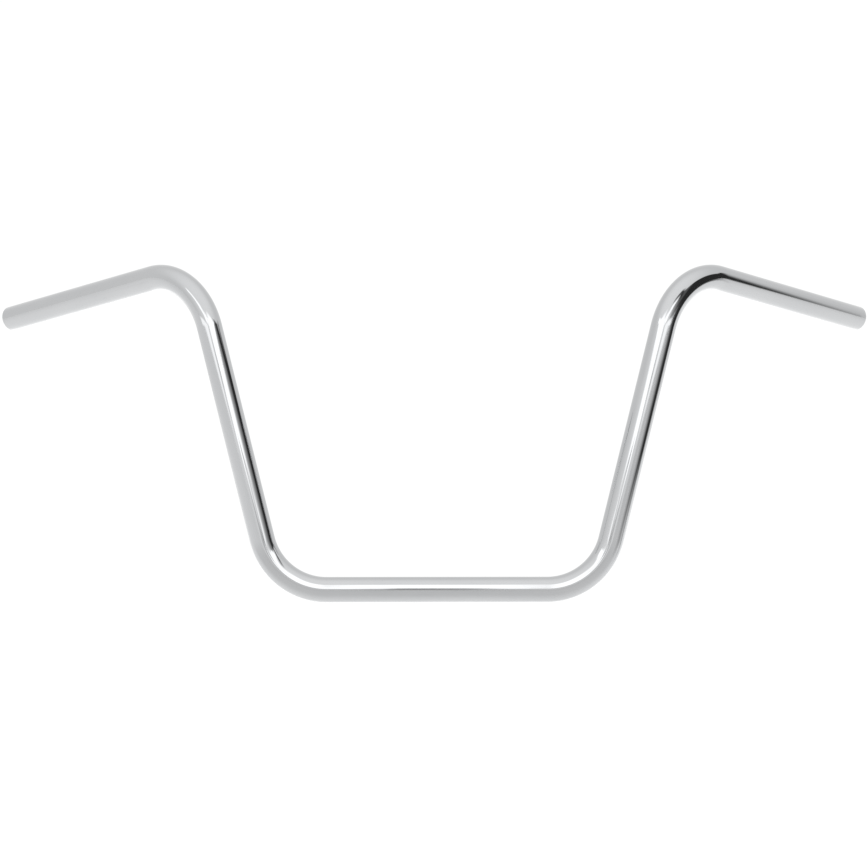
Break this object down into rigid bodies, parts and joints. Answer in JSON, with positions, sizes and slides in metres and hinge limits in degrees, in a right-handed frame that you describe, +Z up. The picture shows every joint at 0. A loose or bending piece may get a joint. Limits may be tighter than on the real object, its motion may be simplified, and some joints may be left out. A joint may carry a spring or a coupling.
{
  "type": "motorcycle handlebar",
  "caption": "High-rise handlebar bent from one round chromed steel tube: a straight clamp span, leaning risers, and bare open ends that sweep back for the grips.",
  "frame": {"origin": "middle of the clamp span, on the tube's centreline", "axes": "+X along the clamp span to the rider's left; +Y back towards the rider, the way the grips sweep; +Z up, in the plane that the two risers lean in"},
  "size_m": [0.9202, 0.2106, 0.3411],
  "materials": {
    "chrome": "mirror-polished bright chrome plate over steel"
  },
  "bodies": {
    "root": {"center_clamp_section": "chrome", "left_lower_bend": "chrome", "left_riser": "chrome", "left_upper_bend": "chrome", "left_grip_section": "chrome", "right_lower_bend": "chrome", "right_riser": "chrome", "right_upper_bend": "chrome", "right_grip_section": "chrome"}
  },
  "joints": []
}
